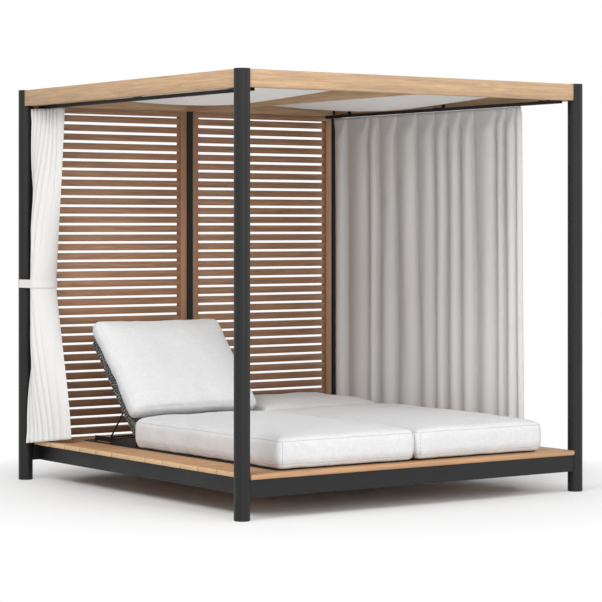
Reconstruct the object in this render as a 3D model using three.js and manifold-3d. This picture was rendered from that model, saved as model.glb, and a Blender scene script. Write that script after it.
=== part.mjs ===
// An outdoor daybed with a canopy. Four round posts carry a ring of beams with a sagging fabric
// roof. A board deck between them holds two chaises side by side, a louvred wall closes the back,
// one side curtain hangs open on its track and the other is tied to its post.
// Millimetres, +Z up, open front towards -Y, origin on the ground under the middle.

import * as THREE from 'three';
import { mergeVertices } from 'three/addons/utils/BufferGeometryUtils.js';
import Module from 'manifold-3d';

const wasm = await Module();
wasm.setup();

// Whole frame
const height = 2300;
const postSpanX = 2260;
const postSpanY = 2312;
const postRadius = 42;
const postSides = 32;
const postFootRound = 3;
const seam = 0.3;
const overrun = 2;
const half = 1 / 2;
const quarterTurn = Math.PI / 2;
const postX = postSpanX * half;
const postY = postSpanY * half;

// Top beams and rafter
const beamThickness = 50;
const beamDepth = 92;
const beamDrop = 2;
const rafterWidth = 45;
const rafterDepth = 65;
const beamTopZ = height - beamDrop;
const beamBottomZ = beamTopZ - beamDepth;
const beamInnerX = postX - beamThickness * half;
const beamInnerY = postY - beamThickness * half;
const rafterTopZ = beamBottomZ + rafterDepth;

// Canopy sheet
const canopyThickness = 3;
const canopySag = 92;
const canopyFallPower = 1.5;
const canopyBayColumns = 10;
const canopyRows = 14;
const canopyPostGap = 3;

// Bottom rails, joists and deck boards
const railThickness = 50;
const railDepth = 91;
const railTopZ = 206;
const sideRailInset = 80;
const joistDepth = 80;
const joistSpacing = 500;
const deckSideInset = 35;
const deckFrontOverhang = 37;
const deckBackInset = 42.4;
const boardThickness = 28;
const boardGap = 3;
const boardCount = 12;
const nosingWidth = 151.4;
const nosingRound = 10;
const nosingSteps = 5;
const nosingPostGap = 1;
const deckHalfWidth = postX - deckSideInset;
const deckFrontY = -postY - deckFrontOverhang;
const nosingBackY = deckFrontY + nosingWidth;
const boardPitch = (postY - deckBackInset - nosingBackY) / boardCount;
const boardWidth = boardPitch - boardGap;
const railBottomZ = railTopZ - railDepth;
const railInnerY = postY - railThickness * half;
const deckBottomZ = railTopZ + seam;
const deckTopZ = deckBottomZ + boardThickness;

// Louvred back wall
const louvreDepth = 50;
const louvrePostGap = 3.8;
const stileWidth = 44;
const louvreBottomRail = 24.7;
const louvreTopRail = 33.2;
const slatPitch = 55.2;
const slatGap = 16.5;
const slatDepth = 36;
const slatTilt = 0.06;
const mullionWidth = 40;
const mullionSetForward = 6;

// Curtain tracks and gliders
const trackInset = 85;
const trackWidth = 20;
const trackHeight = 19;
const trackWall = 2.5;
const trackSlot = 6;
const trackRise = 3;
const bracketWidth = 30;
const bracketWall = 4;
const bracketLeaf = 30;
const bracketShares = [-0.85, 0, 0.85];
const gliderLength = 16;
const gliderHeadHeight = 9;
const gliderNeck = 4.6;
const gliderDrop = 2;
const gliderCount = 6;
const tiedGliderCount = 2;
const trackX = postX - trackInset;
const trackTopZ = beamBottomZ + trackRise;
const trackBottomZ = trackTopZ - trackHeight;

// Open curtain on the right
const curtainThickness = 5;
const openBackInset = 101;
const openFrontInset = 376;
const openFolds = 14;
const foldSteps = 5;
const openFoldDepth = 27;
const headerFoldDepth = 5;
const openHemGap = 6;
const openRows = 6;
const openHeaderRows = 2;
const openLeadDrift = 18;
const openBackY = postY - openBackInset;
const openFrontY = -postY + openFrontInset;
const openLength = openBackY - openFrontY;
const curtainTopZ = trackBottomZ - gliderDrop - seam;

// Tied curtain on the left
const tiedBackInset = 31;
const tiedWidth = 280;
const tiedFolds = 4;
const tiedHalfRows = 6;
const tiedTopFoldDepth = 18;
const gatheredThickness = 40;
const bundleInsetX = 72;
const bundleInsetY = 84;
const bundleHalfX = 86;
const bundleHalfY = 50;
const hemOverhang = 25;
const hemInsetY = 56;
const hemSpreadY = 338;
const hemDrop = 15.3;
const hemRise = 43;
const hemFoldDepth = 16;
const bandZ = 1158;
const bandHeight = 48;
const bandThickness = 2.4;
const bandGap = 0.6;
const bandSteps = 48;
const tiedBackY = postY - tiedBackInset;
const bundleX = -postX + bundleInsetX;
const bundleY = postY - bundleInsetY;
const hemOuterX = -postX - hemOverhang;
const hemOuterY = postY - hemInsetY;
const hemOuterZ = deckTopZ - hemDrop;
const tiedRows = tiedHalfRows * 2 + 1;

// Chaise base
const chaiseTrackGap = 165;
const chaiseGap = 40;
const barHeight = 6;
const sideBarWidth = 26;
const crossBarWidth = 40;
const crossBarCount = 5;
const baseFrontInset = 56;
const baseWallGap = 231;
const pivotHeight = 33.7;
const pivotRodRadius = 6;
const plateThickness = 8;
const plateInset = 7;
const plateHeadRadius = 20;
const plateShoulder = 60;
const ratchetWidth = 12;
const ratchetRunOut = 46;
const ratchetNotch = 8;
const ratchetNotchDepth = 5;
const ratchetNotchCount = 5;
const raisedNotch = 4;
const raisedAngle = THREE.MathUtils.degToRad(47);

// Backrest and its prop
const backrestWallGap = 53;
const tubeRadius = 17.5;
const tubeSides = 20;
const tubeGap = 1.5;
const tubeLength = 740;
const crossTubeRadius = 12.5;
const crossTubeStart = 120;
const crossTubeEndInset = 18;
const propRadius = 5;
const propSides = 12;
const propLength = 268;
const propTenonDepth = 12.5;
const wovenThickness = 24;
const wovenStart = 30;
const wovenSideInset = 0.5;
const baseHalfWidth = (trackX - chaiseTrackGap - chaiseGap * half) * half;
const chaiseX = baseHalfWidth + chaiseGap * half;
const pivotY = beamInnerY - backrestWallGap - tubeLength;
const baseFrontY = -postY + baseFrontInset;
const baseBackY = beamInnerY - baseWallGap;
const baseTopZ = deckTopZ + barHeight;
const pivotZ = deckTopZ + pivotHeight;
const plateOuter = baseHalfWidth - plateInset;
const tubeOffset = baseHalfWidth - sideBarWidth - tubeGap - tubeRadius;
const propOffset = tubeOffset - tubeRadius - tubeGap - propRadius;
const propTenon = propRadius + tubeGap + propTenonDepth;
const ratchetOffset = propOffset - propRadius - ratchetWidth * half;
const ratchetStartY = pivotY + propLength - ratchetRunOut;
const ratchetTopZ = pivotZ - propRadius - seam;
const wovenHalfWidth = tubeOffset + tubeRadius - wovenSideInset;

// Cushions
const seatSideGap = 2;
const seatFrontInset = 6;
const seatPivotGap = 23;
const seatSide = 175;
const seatCrown = 15;
const backCushionInset = 12;
const backCushionShortfall = 68;
const backCushionSide = 112;
const backCushionCrown = 12;
const backCushionSetBack = 13;
const backCushionSlide = 127;
const cushionDrawIn = 6;
const cushionRound = 38;
const seatColumns = 12;
const seatRows = 16;
const backColumns = 12;
const backRows = 10;
const cushionLayers = 4;
const seatHalfWidth = chaiseX - seatSideGap;
const seatFrontY = -postY + seatFrontInset;
const seatBackY = pivotY - seatPivotGap;
const backCushionHalfWidth = baseHalfWidth - backCushionInset;
const backCushionLength = tubeLength - backCushionShortfall;

const mix = THREE.MathUtils.lerp;
const smooth = THREE.MathUtils.smoothstep;

// Shapes

// The X faces may be given in either order, for pieces that are mirrored from side to side.
function block(x0, x1, y0, y1, z0, z1) {
  const box = new THREE.BoxGeometry(Math.abs(x1 - x0), y1 - y0, z1 - z0);
  return box.translate((x0 + x1) * half, (y0 + y1) * half, (z0 + z1) * half);
}

// A straight round bar between two points.
function bar(from, to, radius, sides) {
  const along = new THREE.Vector3().subVectors(to, from);
  const cylinder = new THREE.CylinderGeometry(radius, radius, along.length(), sides);
  const turn = new THREE.Quaternion();
  turn.setFromUnitVectors(new THREE.Vector3(0, 1, 0), along.normalize());
  const middle = new THREE.Vector3().addVectors(from, to).multiplyScalar(half);
  return cylinder.applyQuaternion(turn).translate(middle.x, middle.y, middle.z);
}

function barAlongX(x0, x1, y, z, radius, sides) {
  return bar(new THREE.Vector3(x0, y, z), new THREE.Vector3(x1, y, z), radius, sides);
}

// A profile of [y, z] points drawn out along X.
function drawnAlongX(profile, x0, x1) {
  const shape = new THREE.Shape(profile.map(([y, z]) => new THREE.Vector2(y, z)));
  const solid = new THREE.ExtrudeGeometry(shape, { depth: x1 - x0, bevelEnabled: false });
  const turn = new THREE.Matrix4().makeBasis(
    new THREE.Vector3(0, 1, 0), new THREE.Vector3(0, 0, 1), new THREE.Vector3(1, 0, 0));
  return solid.applyMatrix4(turn).translate(x0, 0, 0);
}

// A profile of [x, z] points drawn out along Y.
function drawnAlongY(profile, y0, y1) {
  const shape = new THREE.Shape(profile.map(([x, z]) => new THREE.Vector2(x, z)));
  const solid = new THREE.ExtrudeGeometry(shape, { depth: y1 - y0, bevelEnabled: false });
  return solid.rotateX(quarterTurn).translate(0, y1, 0);
}

function toSolid(geometry) {
  const bare = geometry.clone();
  bare.deleteAttribute('normal');
  bare.deleteAttribute('uv');
  const merged = mergeVertices(bare);
  const vertProperties = merged.attributes.position.array;
  const triVerts = Uint32Array.from(merged.index.array);
  return new wasm.Manifold(new wasm.Mesh({ numProp: 3, vertProperties, triVerts }));
}

function toGeometry(solid) {
  const mesh = solid.getMesh();
  const geometry = new THREE.BufferGeometry();
  geometry.setAttribute('position', new THREE.BufferAttribute(mesh.vertProperties, 3));
  geometry.setIndex(new THREE.BufferAttribute(mesh.triVerts, 1));
  geometry.computeVertexNormals();
  return geometry;
}

function join(geometries) {
  return toGeometry(geometries.map(toSolid).reduce((whole, piece) => whole.add(piece)));
}

function cut(geometry, cutters) {
  return toGeometry(cutters.map(toSolid).reduce((left, cutter) => left.subtract(cutter), toSolid(geometry)));
}

// A closed thin sheet between two faces, each a function of u and v from 0 to 1.
function sheet(faces, columns, rows) {
  const positions = [];
  const index = [];
  const stride = columns + 1;
  const layer = stride * (rows + 1);
  for (const face of faces) {
    for (let row = 0; row <= rows; row += 1) {
      for (let column = 0; column <= columns; column += 1) {
        const point = face(column / columns, row / rows);
        positions.push(point.x, point.y, point.z);
      }
    }
  }
  const quad = (a, b, c, d) => index.push(a, b, c, a, c, d);
  for (let row = 0; row < rows; row += 1) {
    for (let column = 0; column < columns; column += 1) {
      const a = row * stride + column;
      const b = a + 1;
      const c = b + stride;
      const d = a + stride;
      quad(a, d, c, b);
      quad(a + layer, b + layer, c + layer, d + layer);
    }
  }
  for (let column = 0; column < columns; column += 1) {
    const top = rows * stride + column;
    quad(column, column + 1, column + 1 + layer, column + layer);
    quad(top + 1, top, top + layer, top + 1 + layer);
  }
  for (let row = 0; row < rows; row += 1) {
    const near = row * stride;
    const far = near + columns;
    quad(near + stride, near, near + layer, near + stride + layer);
    quad(far, far + stride, far + stride + layer, far + layer);
  }
  const geometry = new THREE.BufferGeometry();
  geometry.setAttribute('position', new THREE.Float32BufferAttribute(positions, 3));
  geometry.setIndex(index);
  geometry.computeVertexNormals();
  return geometry;
}

// The four post surfaces, grown by a clearance, for cutting what fits round them.
function postCutters(clearance) {
  const cutters = [];
  for (const x of [-postX, postX]) {
    for (const y of [-postY, postY]) {
      const radius = (postRadius + clearance) / Math.cos(Math.PI / postSides);
      const cylinder = new THREE.CylinderGeometry(radius, radius, height * 2, postSides);
      cutters.push(cylinder.rotateX(quarterTurn).translate(x, y, 0));
    }
  }
  return cutters;
}

// Posts, beams and rafter

function postGeometry() {
  const profile = [
    [0, 0],
    [postRadius - postFootRound, 0],
    [postRadius, postFootRound],
    [postRadius, height],
    [0, height],
  ];
  const points = profile.map(([radius, z]) => new THREE.Vector2(radius, z));
  return new THREE.LatheGeometry(points, postSides).rotateX(quarterTurn);
}

function alongXBar(y, thickness, z0, z1) {
  return cut(block(-postX, postX, y - thickness * half, y + thickness * half, z0, z1), postCutters(seam));
}

function alongYBar(x, thickness, z0, z1) {
  return cut(block(x - thickness * half, x + thickness * half, -postY, postY, z0, z1), postCutters(seam));
}

function rafterGeometry() {
  const reach = beamInnerY - seam;
  return block(-rafterWidth * half, rafterWidth * half, -reach, reach, beamBottomZ, rafterTopZ);
}

function canopyGeometry() {
  const reachX = beamInnerX - seam;
  const reachY = beamInnerY - seam;
  const restZ = rafterTopZ + seam;
  const bayWidth = reachX - rafterWidth * half;
  const faceAbove = (rise) => (u, v) => {
    const column = (u * 2 - 1) * canopyBayColumns;
    const past = Math.max(0, Math.abs(column) - 1);
    const across = past / (canopyBayColumns - 1);
    const onRafter = Math.min(1, Math.abs(column)) * rafterWidth * half;
    const x = Math.sign(column) * (onRafter + across * bayWidth);
    const y = (v * 2 - 1) * reachY;
    const bay = 4 * across * (1 - across);
    const fall = 1 - Math.abs(y / reachY) ** canopyFallPower;
    return new THREE.Vector3(x, y, restZ - canopySag * bay * fall + rise);
  };
  const faces = [faceAbove(0), faceAbove(canopyThickness)];
  return cut(sheet(faces, canopyBayColumns * 2, canopyRows), postCutters(canopyPostGap));
}

// Deck

function sideRailGeometry(side) {
  const outer = postX - sideRailInset;
  const inner = outer - railThickness;
  const reach = railInnerY - seam;
  return block(side * outer, side * inner, -reach, reach, railBottomZ, railTopZ);
}

function joistGeometry(x) {
  const reach = railInnerY - seam;
  return block(x - railThickness * half, x + railThickness * half, -reach, reach,
    railTopZ - joistDepth, railTopZ);
}

function boardGeometry(board) {
  const y0 = nosingBackY + boardGap + board * boardPitch;
  return block(-deckHalfWidth, deckHalfWidth, y0, y0 + boardWidth, deckBottomZ, deckTopZ);
}

// The front board, its front edge a half round, notched round the two front posts.
function nosingGeometry() {
  const profile = [[nosingBackY, deckBottomZ], [nosingBackY, deckTopZ]];
  const corners = [
    [deckTopZ - nosingRound, 1],
    [deckBottomZ + nosingRound, -1],
  ];
  for (const [centreZ, way] of corners) {
    for (let step = 0; step <= nosingSteps; step += 1) {
      const share = way > 0 ? 1 - step / nosingSteps : step / nosingSteps;
      const angle = quarterTurn * share;
      const y = deckFrontY + nosingRound * (1 - Math.cos(angle));
      profile.push([y, centreZ + way * nosingRound * Math.sin(angle)]);
    }
  }
  return cut(drawnAlongX(profile, -deckHalfWidth, deckHalfWidth), postCutters(nosingPostGap));
}

// Back wall

function louvreGeometry(side) {
  const inner = mullionWidth * half + seam;
  const outer = postX - postRadius - louvrePostGap;
  const x0 = side > 0 ? inner : -outer;
  const x1 = side > 0 ? outer : -inner;
  const y0 = beamInnerY;
  const y1 = y0 + louvreDepth;
  const z0 = railTopZ + seam;
  const z1 = beamBottomZ - seam;
  const pieces = [
    block(x0, x0 + stileWidth, y0, y1, z0, z1),
    block(x1 - stileWidth, x1, y0, y1, z0, z1),
    block(x0, x1, y0, y1, z0, z0 + louvreBottomRail),
    block(x0, x1, y0, y1, z1 - louvreTopRail, z1),
  ];
  const slatHeight = slatPitch - slatGap;
  const slatLength = x1 - x0 - (stileWidth - overrun) * 2;
  const opening = z1 - louvreTopRail - z0 - louvreBottomRail;
  const slatCount = Math.floor(opening / slatPitch);
  for (let slatPlace = 0; slatPlace < slatCount; slatPlace += 1) {
    const slat = new THREE.BoxGeometry(slatLength, slatDepth, slatHeight).rotateX(slatTilt);
    const z = z0 + louvreBottomRail + slatGap + slatHeight * half + slatPlace * slatPitch;
    pieces.push(slat.translate((x0 + x1) * half, y1 - slatDepth * half - overrun, z));
  }
  return join(pieces);
}

function mullionGeometry() {
  const y0 = beamInnerY - mullionSetForward;
  return block(-mullionWidth * half, mullionWidth * half, y0, y0 + louvreDepth,
    railTopZ + seam, beamBottomZ - seam);
}

// Curtain tracks

// A C-shaped rail with its slot below, hung from the side beam by angle brackets.
function trackGeometry(side) {
  const reach = beamInnerY - seam;
  const outer = trackWidth * half;
  const inner = outer - trackWall;
  const slot = trackSlot * half;
  const profile = [
    [-slot, 0], [-outer, 0], [-outer, trackHeight], [outer, trackHeight], [outer, 0], [slot, 0],
    [slot, trackWall], [inner, trackWall], [inner, trackHeight - trackWall],
    [-inner, trackHeight - trackWall], [-inner, trackWall], [-slot, trackWall],
  ];
  const rail = drawnAlongY(profile, -reach, reach).translate(side * trackX, 0, trackBottomZ);
  const pieces = [rail];
  const wallX = side * (beamInnerX - seam);
  const nearX = side * (trackX - outer);
  const leafX = wallX - side * bracketWall;
  const strapBottomZ = trackTopZ - trackWall * half;
  for (const share of bracketShares) {
    const y0 = share * reach - bracketWidth * half;
    const y1 = y0 + bracketWidth;
    pieces.push(block(nearX, wallX, y0, y1, strapBottomZ, trackTopZ + bracketWall));
    pieces.push(block(leafX, wallX, y0, y1, trackTopZ, trackTopZ + bracketLeaf));
  }
  return join(pieces);
}

// A glider's head runs in the rail, its neck goes down through the slot.
function gliderGeometry() {
  const headHalf = trackWidth * half - trackWall - 2 * seam;
  const neckHalf = gliderNeck * half;
  const headZ = trackWall + seam;
  const profile = [
    [-neckHalf, -gliderDrop], [neckHalf, -gliderDrop], [neckHalf, headZ], [headHalf, headZ],
    [headHalf, headZ + gliderHeadHeight], [-headHalf, headZ + gliderHeadHeight],
    [-headHalf, headZ], [-neckHalf, headZ],
  ];
  return drawnAlongY(profile, -gliderLength * half, gliderLength * half);
}

// Curtains

function fold(u, count) {
  return Math.sin(u * count * 2 * Math.PI);
}

function openCurtainGeometry() {
  const hemZ = deckTopZ + openHemGap;
  const faceAt = (offset) => (u, v) => {
    const drop = 1 - v;
    const opened = Math.min(1, drop * openRows / openHeaderRows);
    const depth = headerFoldDepth + (openFoldDepth - headerFoldDepth) * opened;
    const y = openBackY - openLength * (1 - u) - openLeadDrift * drop * (1 - u);
    return new THREE.Vector3(trackX + depth * fold(u, openFolds) + offset, y, mix(hemZ, curtainTopZ, v));
  };
  const faces = [faceAt(-curtainThickness * half), faceAt(curtainThickness * half)];
  return sheet(faces, openFolds * foldSteps, openRows);
}

// Half the width of the gathered bundle at one distance behind or before its middle.
function bundleReach(acrossY) {
  return bundleHalfX * Math.sqrt(1 - (acrossY / bundleHalfY) ** 2);
}

// Falls from the track to the band as a narrowing bundle, then spreads to the hem beside the deck.
function tiedCurtainGeometry() {
  const bandTopZ = bandZ + bandHeight * half;
  const bandBottomZ = bandZ - bandHeight * half;
  const faceAt = (side) => (u, v) => {
    const row = v * tiedRows;
    const above = Math.max(0, row - tiedHalfRows - 1) / tiedHalfRows;
    const below = Math.max(0, tiedHalfRows - row) / tiedHalfRows;
    const isAbove = row > tiedHalfRows + half;
    const hemZ = hemOuterZ + hemRise * (1 - u);
    const z = isAbove ? mix(bandTopZ, curtainTopZ, above) : mix(bandBottomZ, hemZ, below);
    const share = smooth(above + below, 0, 1);
    const acrossY = (u * 2 - 1) * (bundleHalfY - curtainThickness);
    const farX = isAbove ? -trackX : mix(-trackX, hemOuterX, u);
    const farY = isAbove ? tiedBackY - tiedWidth * (1 - u) : hemOuterY - hemSpreadY * (1 - u);
    const gatheredDepth = bundleReach(acrossY) - gatheredThickness * half;
    const depth = mix(gatheredDepth, isAbove ? tiedTopFoldDepth : hemFoldDepth, share);
    const thickness = mix(gatheredThickness, curtainThickness, share);
    const out = fold(u, tiedFolds) * depth + side * thickness * half;
    return new THREE.Vector3(mix(bundleX, farX, share) + out, mix(bundleY + acrossY, farY, share), z);
  };
  return sheet([faceAt(-1), faceAt(1)], tiedFolds * foldSteps, tiedRows);
}

// The outline of the post, or of the gathered curtain, in one direction from its middle.
function pointOnPost(angle, clearance) {
  const radius = (postRadius + clearance) / Math.cos(Math.PI / postSides);
  return new THREE.Vector2(-postX + radius * Math.cos(angle), postY + radius * Math.sin(angle));
}

function pointOnBundle(angle, clearance) {
  const reachX = bundleHalfX + clearance;
  const reachY = bundleHalfY + clearance;
  const size = Math.hypot(reachX * Math.cos(angle), reachY * Math.sin(angle));
  return new THREE.Vector2(
    bundleX + reachX ** 2 * Math.cos(angle) / size, bundleY + reachY ** 2 * Math.sin(angle) / size);
}

// The band wraps the curtain and the post like a stretched strap, and on the right it dips into
// the crook between them, where the louvre's stile stands.
function bandOutline(clearance) {
  const points = [];
  const turn = 2 * Math.PI / bandSteps;
  const crookX = pointOnPost(0, clearance).x;
  for (let angle = 0; pointOnBundle(angle, clearance).x > crookX + bandThickness; angle += turn) {
    points.push(pointOnBundle(angle, clearance));
  }
  const crookShare = (crookX - bundleX) / (bundleHalfX + clearance);
  const crookY = bundleY + (bundleHalfY + clearance) * Math.sqrt(1 - crookShare ** 2);
  points.push(new THREE.Vector2(crookX, crookY));
  for (let step = 0; step < bandSteps; step += 1) {
    const angle = step * turn;
    const onPost = pointOnPost(angle, clearance);
    const onBundle = pointOnBundle(angle, clearance);
    const way = new THREE.Vector2(Math.cos(angle), Math.sin(angle));
    const postIsOuter = angle <= quarterTurn || onPost.dot(way) > onBundle.dot(way);
    points.push(postIsOuter ? onPost : onBundle);
  }
  return points;
}

function bandGeometry() {
  const shape = new THREE.Shape(bandOutline(bandGap + bandThickness));
  shape.holes.push(new THREE.Path(bandOutline(bandGap)));
  const strap = new THREE.ExtrudeGeometry(shape, { depth: bandHeight, bevelEnabled: false });
  return strap.translate(0, 0, bandZ - bandHeight * half);
}

// Chaise frame, built round x = 0

function hingePlate(side) {
  const outer = side * plateOuter;
  const inner = side * (plateOuter - plateThickness);
  const profile = [
    [pivotY - plateHeadRadius, baseTopZ - overrun],
    [pivotY + propLength + plateHeadRadius, baseTopZ - overrun],
    [pivotY + propLength, baseTopZ + barHeight],
    [pivotY + plateShoulder, pivotZ + plateHeadRadius],
    [pivotY, pivotZ + plateHeadRadius],
    [pivotY - plateHeadRadius, pivotZ + plateHeadRadius * half],
  ];
  return drawnAlongX(profile, Math.min(outer, inner), Math.max(outer, inner));
}

// The prop's foot stands over one notch in each set position of the backrest.
function ratchetNotchCutters() {
  const cutters = [];
  for (let notch = 1; notch <= ratchetNotchCount; notch += 1) {
    const angle = raisedAngle * notch / raisedNotch;
    const y0 = pivotY + 2 * propLength * Math.cos(angle) - ratchetNotch * half;
    cutters.push(block(-baseHalfWidth, baseHalfWidth, y0, y0 + ratchetNotch,
      ratchetTopZ - ratchetNotchDepth, ratchetTopZ + overrun));
  }
  return cutters;
}

function chaiseBaseGeometry() {
  const pieces = [];
  for (const side of [-1, 1]) {
    const outer = side * baseHalfWidth;
    const inner = side * (baseHalfWidth - sideBarWidth);
    pieces.push(block(outer, inner, baseFrontY, baseBackY, deckTopZ, baseTopZ));
    pieces.push(hingePlate(side));
    const ratchetX0 = side * ratchetOffset - ratchetWidth * half;
    const rail = block(ratchetX0, ratchetX0 + ratchetWidth, ratchetStartY, baseBackY, deckTopZ, ratchetTopZ);
    pieces.push(cut(rail, ratchetNotchCutters()));
  }
  const crossPitch = (baseBackY - baseFrontY - crossBarWidth) / (crossBarCount - 1);
  const crossStarts = [ratchetStartY];
  for (let crossBar = 0; crossBar < crossBarCount; crossBar += 1) {
    crossStarts.push(baseFrontY + crossBar * crossPitch);
  }
  const crossReach = baseHalfWidth - overrun;
  for (const y0 of crossStarts) {
    pieces.push(block(-crossReach, crossReach, y0, y0 + crossBarWidth, deckTopZ, baseTopZ));
  }
  const bore = barAlongX(-baseHalfWidth, baseHalfWidth, pivotY, pivotZ, pivotRodRadius + seam, propSides);
  return cut(join(pieces), [bore]);
}

function pivotRodGeometry() {
  return barAlongX(-plateOuter, plateOuter, 0, 0, pivotRodRadius, propSides);
}

// Backrest parts lie flat here, from the pivot at the origin towards +Y.

function backrestFrameGeometry() {
  const pieces = [];
  for (const side of [-1, 1]) {
    const x = side * tubeOffset;
    const foot = new THREE.Vector3(x, -tubeRadius, 0);
    pieces.push(bar(foot, new THREE.Vector3(x, tubeLength, 0), tubeRadius, tubeSides));
  }
  for (const along of [crossTubeStart, tubeLength - crossTubeEndInset]) {
    pieces.push(barAlongX(-tubeOffset, tubeOffset, along, 0, crossTubeRadius, propSides));
  }
  const pivotBore = barAlongX(-baseHalfWidth, baseHalfWidth, 0, 0, pivotRodRadius + seam, propSides);
  const cutters = [pivotBore];
  for (const side of [-1, 1]) {
    const near = side * (propOffset - propRadius);
    const deep = side * (propOffset + propTenon + seam);
    cutters.push(barAlongX(near, deep, propLength, 0, propRadius + seam, propSides));
  }
  return cut(join(pieces), cutters);
}

function wovenBackGeometry() {
  const z0 = tubeRadius + seam;
  return block(-wovenHalfWidth, wovenHalfWidth, wovenStart, tubeLength, z0, z0 + wovenThickness);
}

// A bent rod: two arms with tenons in the side tubes, and a foot bar across their ends.
function propGeometry() {
  const pieces = [barAlongX(-propOffset, propOffset, propLength, 0, propRadius, propSides)];
  for (const side of [-1, 1]) {
    const x = side * propOffset;
    const arm = bar(new THREE.Vector3(x, 0, 0), new THREE.Vector3(x, propLength, 0), propRadius, propSides);
    pieces.push(arm, barAlongX(x, x + side * propTenon, 0, 0, propRadius, propSides));
    for (const y of [0, propLength]) {
      pieces.push(new THREE.IcosahedronGeometry(propRadius, 1).translate(x, y, 0));
    }
  }
  return join(pieces);
}

// A crowned cushion with rounded edges and drawn-in sides; its base is at z = 0 and its back at +Y.
function cushionGeometry(halfWidth, length, side, crown, columns, rows) {
  const cushion = new THREE.BoxGeometry(2, 2, 2, columns, rows, cushionLayers);
  const position = cushion.attributes.position;
  const soften = (value) => Math.sin(value * quarterTurn);
  const reach = new THREE.Vector3(halfWidth, length * half, side * half);
  const coreHigh = reach.clone().subScalar(cushionRound);
  const coreLow = coreHigh.clone().negate();
  for (let corner = 0; corner < position.count; corner += 1) {
    const s = soften(position.getX(corner));
    const t = soften(position.getY(corner));
    const h = soften(position.getZ(corner));
    const boxed = new THREE.Vector3(s, t, h).multiply(reach);
    const inner = boxed.clone().clamp(coreLow, coreHigh);
    const rounded = boxed.sub(inner).setLength(cushionRound).add(inner);
    const drawX = cushionDrawIn * (1 - t * t) * s;
    const drawY = cushionDrawIn * (1 - s * s) * t;
    const swell = Math.max(0, h) * crown * (1 - s * s) * (1 - t * t);
    position.setXYZ(corner, rounded.x - drawX, rounded.y - drawY, rounded.z + side * half + swell);
  }
  cushion.computeVertexNormals();
  return cushion;
}

// Materials

function material(color, roughness, metalness) {
  return new THREE.MeshStandardMaterial({ color, roughness, metalness });
}

const charcoalPaint = () => material(0x3a3a3a, 0.5, 0.3);
const paleTeak = () => material(0xcdaa87, 0.6, 0);
const deckTeak = () => material(0xc89b6e, 0.65, 0);
const louvreTeak = () => material(0x966e55, 0.65, 0);
const canopyCloth = () => material(0xe4e2dd, 0.9, 0);
const curtainCloth = () => material(0xecebe8, 0.9, 0);
const cushionCloth = () => material(0xe6e6e6, 0.95, 0);
const ropeWeave = () => material(0x5a5a5a, 0.9, 0);
const gliderPlastic = () => material(0xe0e0dc, 0.4, 0);

// Assembly

const daybed = new THREE.Group();
daybed.name = 'daybed';

function addPiece(parent, name, geometry, finish, x = 0, y = 0, z = 0) {
  const mesh = new THREE.Mesh(geometry, finish);
  mesh.name = name;
  mesh.position.set(x, y, z);
  parent.add(mesh);
  return mesh;
}

function addFrame() {
  const corners = [
    ['back_left', -1, 1], ['front_left', -1, -1], ['front_right', 1, -1], ['back_right', 1, 1],
  ];
  for (const [corner, sideX, sideY] of corners) {
    addPiece(daybed, `post_${corner}`, postGeometry(), charcoalPaint(), sideX * postX, sideY * postY);
  }
  const rows = [['front', -1], ['back', 1]];
  for (const [name, side] of rows) {
    const beam = alongXBar(side * postY, beamThickness, beamBottomZ, beamTopZ);
    addPiece(daybed, `top_beam_${name}`, beam, paleTeak());
    const rail = alongXBar(side * postY, railThickness, railBottomZ, railTopZ);
    addPiece(daybed, `bottom_rail_${name}`, rail, charcoalPaint());
  }
  const sides = [['left', -1], ['right', 1]];
  for (const [name, side] of sides) {
    const beam = alongYBar(side * postX, beamThickness, beamBottomZ, beamTopZ);
    addPiece(daybed, `top_beam_${name}`, beam, paleTeak());
    addPiece(daybed, `bottom_rail_${name}`, sideRailGeometry(side), charcoalPaint());
    addPiece(daybed, `louvre_panel_${name}`, louvreGeometry(side), louvreTeak());
    addPiece(daybed, `curtain_track_${name}`, trackGeometry(side), charcoalPaint());
  }
  addPiece(daybed, 'rafter', rafterGeometry(), paleTeak());
  addPiece(daybed, 'canopy', canopyGeometry(), canopyCloth());
  addPiece(daybed, 'mullion', mullionGeometry(), charcoalPaint());
}

function addDeck() {
  const joists = [['left', -1], ['middle', 0], ['right', 1]];
  for (const [name, side] of joists) {
    addPiece(daybed, `deck_joist_${name}`, joistGeometry(side * joistSpacing), charcoalPaint());
  }
  addPiece(daybed, 'deck_nosing', nosingGeometry(), deckTeak());
  for (let board = 0; board < boardCount; board += 1) {
    addPiece(daybed, `deck_board_${board + 1}`, boardGeometry(board), deckTeak());
  }
}

function addCurtains() {
  addPiece(daybed, 'curtain_right', openCurtainGeometry(), curtainCloth());
  addPiece(daybed, 'curtain_left', tiedCurtainGeometry(), curtainCloth());
  addPiece(daybed, 'tieback_band', bandGeometry(), curtainCloth());
  const leadY = openFrontY + gliderLength * half;
  const pitch = (openLength - gliderLength) / (gliderCount - 1);
  for (let glider = 0; glider < gliderCount; glider += 1) {
    const piece = addPiece(daybed, `glider_right_${glider + 1}`, gliderGeometry(), gliderPlastic());
    piece.position.set(trackX, leadY + glider * pitch, trackBottomZ);
  }
  const creaseInset = tiedWidth * half / tiedFolds;
  const tiedPitch = (tiedWidth - creaseInset * 2) / (tiedGliderCount - 1);
  for (let glider = 0; glider < tiedGliderCount; glider += 1) {
    const piece = addPiece(daybed, `glider_left_${glider + 1}`, gliderGeometry(), gliderPlastic());
    piece.position.set(-trackX, tiedBackY - creaseInset - glider * tiedPitch, trackBottomZ);
  }
}

function seatCushionGeometry() {
  return cushionGeometry(seatHalfWidth, seatBackY - seatFrontY, seatSide, seatCrown, seatColumns, seatRows);
}

function backCushionGeometry() {
  return cushionGeometry(backCushionHalfWidth, backCushionLength, backCushionSide, backCushionCrown,
    backColumns, backRows);
}

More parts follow.
